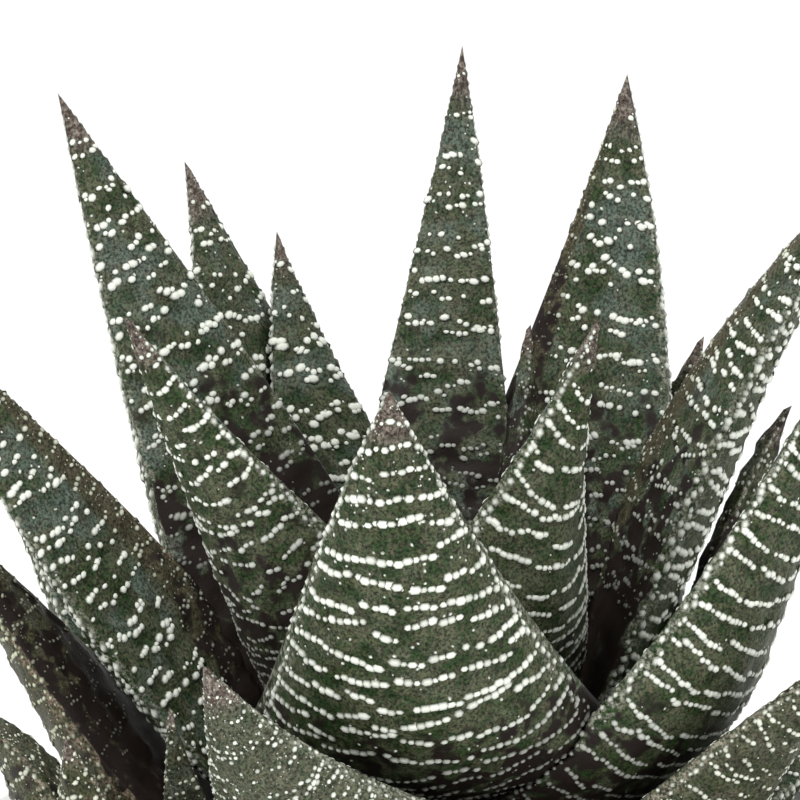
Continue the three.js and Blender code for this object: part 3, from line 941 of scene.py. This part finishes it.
def skin_material():
    """Mottled green skin with pale rows, worn pale edges, a dry tip, a painted sheen of sky on the inner
    faces, and painted shade with some soil stain at the base.
    """
    made, net, shader = material_of("leaf_skin")
    names = ("along", "edge", "band", "inner", "shade_and_stain", "haze", "warm")
    along, edge, band, inner, dark, haze, warm = (value_of(net, name) for name in names)
    patches = ramp(net, noise(net, 1.8), 0.38, 0.62)
    colour = mixed(net, patches, SKIN_DEEP, SKIN_PALE)
    colour = tinted(net, colour, SKIN_BAND, band, 0.35)
    # Painted sheen: bluish patches on the inner faces stand in for a reflection of the sky.
    sheen = ramp(net, noise(net, 3.5, 2.0), 0.45, 0.65)
    colour = tinted(net, colour, SKIN_SHEEN, times(net, sheen, inner), 0.62)
    colour = tinted(net, colour, SKIN_HAZE, haze, 0.7)
    colour = tinted(net, colour, SKIN_WARM, warm, 0.65)
    ruddy = ramp(net, noise(net, 0.45, 2.0, 0.7), 0.42, 0.75)
    colour = tinted(net, colour, SKIN_RUDDY, ruddy, 0.45)
    worn = ramp(net, noise(net, 0.45, 2.0), 0.42, 0.6)
    rim = times(net, ramp(net, edge, 0.92, 0.98), worn)
    colour = tinted(net, colour, mixed(net, warm, EDGE_PALE, EDGE_WARM), rim, 0.75)
    tip = ramp(net, along, 0.90, 0.945)
    colour = tinted(net, colour, mixed(net, worn, TIP_DARK, TIP_PALE), tip, 0.9)
    grain = ramp(net, noise(net, 0.2, 2.0, 0.7), 0.3, 0.7, (0.25, 2.0))
    colour = mixed(net, 1.0, colour, grain, "MULTIPLY")
    # Painted shade, with some soil stain, darkens the leaf's base in uneven blots.
    blots = ramp(net, noise(net, 1.6), 0.3, 0.7, (-0.5, 0.5))
    shade_and_stain_share = ramp(net, worked(net, "ADD", dark, blots), 0.35, 0.7)
    colour = mixed(net, shade_and_stain_share, colour, SKIN_SHADE_AND_STAIN)
    painted(net, shader, colour, 0.5)
    shader.inputs["Specular IOR Level"].default_value = 0.15
    bumped(net, shader, noise(net, 0.22), 0.06, 0.6)
    return made


def bead_material():
    """White beads, green at the foot, yellower where the leaf is warm and dulled by the painted shade and
    soil stain at the base.
    """
    made, net, shader = material_of("leaf_tubercles")
    tone, dark, warm = (value_of(net, name) for name in ("tone", "shade_and_stain", "warm"))
    white = mixed(net, times(net, warm, 0.8), BEAD_WHITE, BEAD_WARM)
    colour = mixed(net, ramp(net, tone, 0.0, 0.9), BEAD_FOOT, white)
    # Painted shade, with some soil stain, dulls the beads at the leaf's base.
    colour = tinted(net, colour, BEAD_SHADE_AND_STAIN, dark, 0.9)
    painted(net, shader, colour, 0.55)
    shader.inputs["Specular IOR Level"].default_value = 0.25
    bumped(net, shader, noise(net, 0.15, 2.0), 0.04, 0.4)
    return made


def soil_material():
    made, net, shader = material_of("potting_soil")
    lumps = ramp(net, noise(net, 1.2, 4.0, 0.7), 0.35, 0.7)
    painted(net, shader, mixed(net, lumps, SOIL_DARK, SOIL_PALE), 0.95)
    bumped(net, shader, noise(net, 0.4, 4.0, 0.7), 0.3, 0.8)
    return made


def pot_material():
    """Pale glaze with a faint cloudiness and a few darker specks."""
    made, net, shader = material_of("pot_glaze")
    cloud = ramp(net, noise(net, 14), 0.3, 0.7)
    specks = ramp(net, noise(net, 0.6, 2.0), 0.72, 0.80)
    colour = tinted(net, mixed(net, cloud, GLAZE, GLAZE_PALE), GLAZE_SPECK, specks, 0.25)
    painted(net, shader, colour, 0.28)
    bumped(net, shader, noise(net, 3.0, 2.0), 0.1, 0.15)
    return made


def stem_material():
    made, net, shader = material_of("dry_stem")
    fibres = noise(net, 0.8, 4.0, 0.7)
    painted(net, shader, mixed(net, fibres, STEM_DARK, STEM_PALE), 0.85)
    bumped(net, shader, fibres, 0.3, 0.6)
    return made


def floor_material():
    made, _, shader = material_of("floor_white")
    shader.inputs["Base Color"].default_value = (*FLOOR_WHITE, 1.0)
    shader.inputs["Roughness"].default_value = FLOOR_ROUGHNESS
    return made


# Pot, soil and stem


def wall_outside(height):
    return POT_FOOT_RADIUS + (POT_RIM_RADIUS - POT_FOOT_RADIUS) * height / POT_HEIGHT


def soil_reach(height):
    return wall_outside(height) - POT_WALL - GAP


def rounded(centre, start, stop):
    """Quarter of a circle of the pot's edge radius, as radius and height pairs."""
    angles = np.radians(np.linspace(start, stop, EDGE_STEPS + 1))
    return [(centre[0] + POT_EDGE * math.cos(a), centre[1] + POT_EDGE * math.sin(a)) for a in angles]


def pot_solid():
    """The pot: a turned profile with rounded edges, and drain holes through its floor."""
    shoulder = POT_HEIGHT - POT_EDGE
    outside = wall_outside(shoulder)
    profile = [
        (0, 0),
        *rounded((POT_FOOT_RADIUS - POT_EDGE, POT_EDGE), -90, -EDGE_LEAN),
        *[(wall_outside(h), h) for h in np.linspace(POT_EDGE, shoulder, WALL_STEPS)],
        *rounded((outside - POT_EDGE, shoulder), EDGE_LEAN, 90),
        *rounded((outside - POT_WALL + POT_EDGE, shoulder), 90, 180 - EDGE_LEAN),
        *[(wall_outside(h) - POT_WALL, h) for h in np.linspace(shoulder, POT_FLOOR, WALL_STEPS)],
        (0, POT_FLOOR),
    ]
    low, high = -POT_FLOOR, 2 * POT_FLOOR
    drain = [(0, low), (DRAIN_RADIUS, low), (DRAIN_RADIUS, high), (0, high)]
    drains = []
    for k in range(DRAIN_COUNT):
        x, y, _ = heading(k * 360 / DRAIN_COUNT + 90, 0) * DRAIN_CIRCLE
        drains.append(lathe(drain, DRAIN_SIDES, (x, y)))
    return cut(*lathe(profile, POT_SIDES), drains)


def stem_solid(stem, sides, centre, grow):
    profile = [(r + grow, h) for r, h in stem]
    profile[0] = (profile[0][0], profile[0][1] - grow)
    top = profile[-1][1] + STEM_DOME + grow
    return lathe([(0, profile[0][1]), *profile, (0, top)], sides, centre)


def crown_solid(grow):
    return stem_solid(CROWN, CROWN_SIDES, (0, 0), grow)


def offset_stem_solid(grow):
    return stem_solid(OFFSET_STEM, OFFSET_SIDES, OFFSET_CENTRE, grow)


def soil_height(x, y):
    """Height of the soil's top, from two sets of slow waves."""
    lumps = 0.5 * np.sin(x * 1.1 + 2) * np.sin(y * 0.9) + 0.3 * np.sin(x * 2.3 + y * 1.7)
    return SOIL_TOP + SOIL_BUMP * lumps


def soil_solid(holes):
    """Soil out to the pot's wall, uneven on top, with the plain holes that the stems stand in."""
    floor = POT_FLOOR + GAP
    reach = soil_reach(SOIL_TOP)
    radii = np.linspace(reach, SOIL_STEP, int(reach / SOIL_STEP))
    profile = [(0, floor), (soil_reach(floor), floor), *[(r, SOIL_TOP) for r in radii], (0, SOIL_TOP)]
    points, triangles = lathe(profile, SOIL_SIDES)
    x, y, z = points.T
    top = (z > SOIL_TOP - SOIL_BUMP) & (np.hypot(x, y) < reach - SOIL_LEVEL_RIM)
    points[top, 2] = soil_height(x[top], y[top])
    return cut(points, triangles, holes)


def grain_solids(reach, keep_clear):
    """Crumbs of soil: small uneven bodies half sunk in its top, clear of some circles."""
    golden = (1 + 5**0.5) / 2
    corners = np.array([
        (-1, golden, 0), (1, golden, 0), (-1, -golden, 0), (1, -golden, 0),
        (0, -1, golden), (0, 1, golden), (0, -1, -golden), (0, 1, -golden),
        (golden, 0, -1), (golden, 0, 1), (-golden, 0, -1), (-golden, 0, 1),
    ]) / math.hypot(1, golden)
    faces = np.array([
        (0, 11, 5), (0, 5, 1), (0, 1, 7), (0, 7, 10), (0, 10, 11), (1, 5, 9), (5, 11, 4), (11, 10, 2),
        (10, 7, 6), (7, 1, 8), (3, 9, 4), (3, 4, 2), (3, 2, 6), (3, 6, 8), (3, 8, 9), (4, 9, 5),
        (2, 4, 11), (6, 2, 10), (8, 6, 7), (9, 8, 1),
    ])
    points, triangles = [], []
    while len(points) < GRAIN_COUNT:
        angle, share = random.uniform(0, 2 * math.pi), math.sqrt(random.uniform(0, 1))
        size = random.uniform(*GRAIN_SIZE)
        x = math.cos(angle) * share * (reach - size)
        y = math.sin(angle) * share * (reach - size)
        if any(math.hypot(x - cx, y - cy) < r + size for cx, cy, r in keep_clear):
            continue
        uneven = random.uniform(*GRAIN_SHAPE, (len(corners), 1))
        shape = corners * uneven * size * random.uniform(*GRAIN_SHAPE, 3)
        points.append(shape + (x, y, float(soil_height(x, y))))
        triangles.append(faces + len(corners) * len(triangles))
    return np.vstack(points), np.vstack(triangles)


def add_piece(name, node, solid, material, flat=False):
    """Adds a solid as a piece of the scene, in place of a node of the frame if one is named."""
    mesh = mesh_of(name, *solid)
    mesh.materials.append(material)
    if flat:
        mesh.polygons.foreach_set("use_smooth", np.zeros(len(mesh.polygons), bool))
    made = object_of(name, mesh)
    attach(made, "root")
    if node:
        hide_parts(node)


# The object


def build_leaves():
    """Each leaf gives way to the crown and to every younger leaf, whose root lies inside its own."""
    materials = (skin_material(), bead_material())
    crown = crown_solid(GAP)
    envelopes = []
    for name, leaf in LEAVES.items():
        here = envelope(leaf)
        others = [crown] + [e for e in envelopes if near_each_other(e[0], here[0])]
        piece = leaf_piece(leaf, LOOKS.get(name, Look()), others)
        add_leaf_object(name + "_skin", name, piece, materials)
        envelopes.append(here)
    parts = []
    for leaf in OFFSET_LEAVES:
        here = envelope(leaf)
        others = [e for e in envelopes if near_each_other(e[0], here[0])]
        parts.append(leaf_piece(leaf, LOOKS["offset"], others))
    points, triangles = offset_stem_solid(0)
    stem = {key: np.zeros(len(points)) for key in VALUES}
    # The offset's stem is dark all over with the painted shade and stain.
    stem["shade_and_stain"] += 1
    parts.append({**stem, "points": points, "triangles": triangles, "bead": np.zeros(len(triangles))})
    add_leaf_object("offset_skin", "offset", joined(parts), materials)


def build_pot():
    """The pot, its soil and the crumbs on it, and a material for the frame's own stem."""
    add_piece("pot_body", "pot", pot_solid(), pot_material())
    soil = soil_material()
    holes = [crown_solid(GAP), offset_stem_solid(GAP)]
    add_piece("soil_top", "soil", soil_solid(holes), soil)
    clear = [(0, 0, CROWN[1][0] + CROWN_CLEAR), (*OFFSET_CENTRE, OFFSET_STEM[1][0] + OFFSET_CLEAR)]
    crumbs = grain_solids(soil_reach(SOIL_TOP), clear)
    add_piece("soil_crumbs", None, crumbs, soil, flat=True)
    stem = frame["nodes"]["stem"]
    stem.data.materials.clear()
    stem.data.materials.append(stem_material())


# Stage, light and camera


def build_stage():
    """A wide white floor."""
    mesh = bpy.data.meshes.new("floor")
    reach = FLOOR_REACH * MM
    corners = [(-reach, -reach, 0), (reach, -reach, 0), (reach, reach, 0), (-reach, reach, 0)]
    mesh.from_pydata(corners, [], [(0, 1, 2, 3)])
    mesh.materials.append(floor_material())
    object_of("floor", mesh)


def add_lamp(name, place, width, power):
    """A round soft lamp that faces the plant."""
    data = bpy.data.lights.new(name, "AREA")
    data.shape = "DISK"
    data.size = width * MM
    data.energy = power
    lamp = bpy.data.objects.new(name, data)
    lamp.location = Vector(place) * MM
    lamp.rotation_euler = (Vector(AIM) * MM - lamp.location).to_track_quat("-Z", "Y").to_euler()
    bpy.context.scene.collection.objects.link(lamp)


def build_lights():
    """A white sky, a key lamp and a weak fill lamp."""
    world = bpy.data.worlds.new("studio")
    world.use_nodes = True
    background = world.node_tree.nodes["Background"]
    background.inputs["Color"].default_value = (*SKY_WHITE, 1.0)
    background.inputs["Strength"].default_value = SKY_STRENGTH
    bpy.context.scene.world = world
    add_lamp("key", *KEY_LAMP)
    add_lamp("fill", *FILL_LAMP)
    bpy.context.scene.view_settings.view_transform = "Standard"


def build_camera():
    """The photograph's camera, level with the upper leaves and looking a little down."""
    slope = math.radians(ELEVATION)
    back = Vector((0, -math.cos(slope), math.sin(slope)))
    data = bpy.data.cameras.new("camera")
    data.sensor_width = SENSOR
    data.lens = SENSOR * DISTANCE / (PIXEL * FRAME_PIXELS)
    camera = bpy.data.objects.new("camera", data)
    camera.location = (Vector(AIM) + back * DISTANCE) * MM
    camera.rotation_euler = (-back).to_track_quat("-Z", "Y").to_euler()
    data.clip_start, data.clip_end = (distance * MM for distance in CLIP)
    bpy.context.scene.collection.objects.link(camera)
    bpy.context.scene.camera = camera


def write_sizes():
    """Brings the view layer up to date."""
    bpy.context.view_layer.update()


build_camera()
build_leaves()
build_pot()
build_stage()
build_lights()
write_sizes()
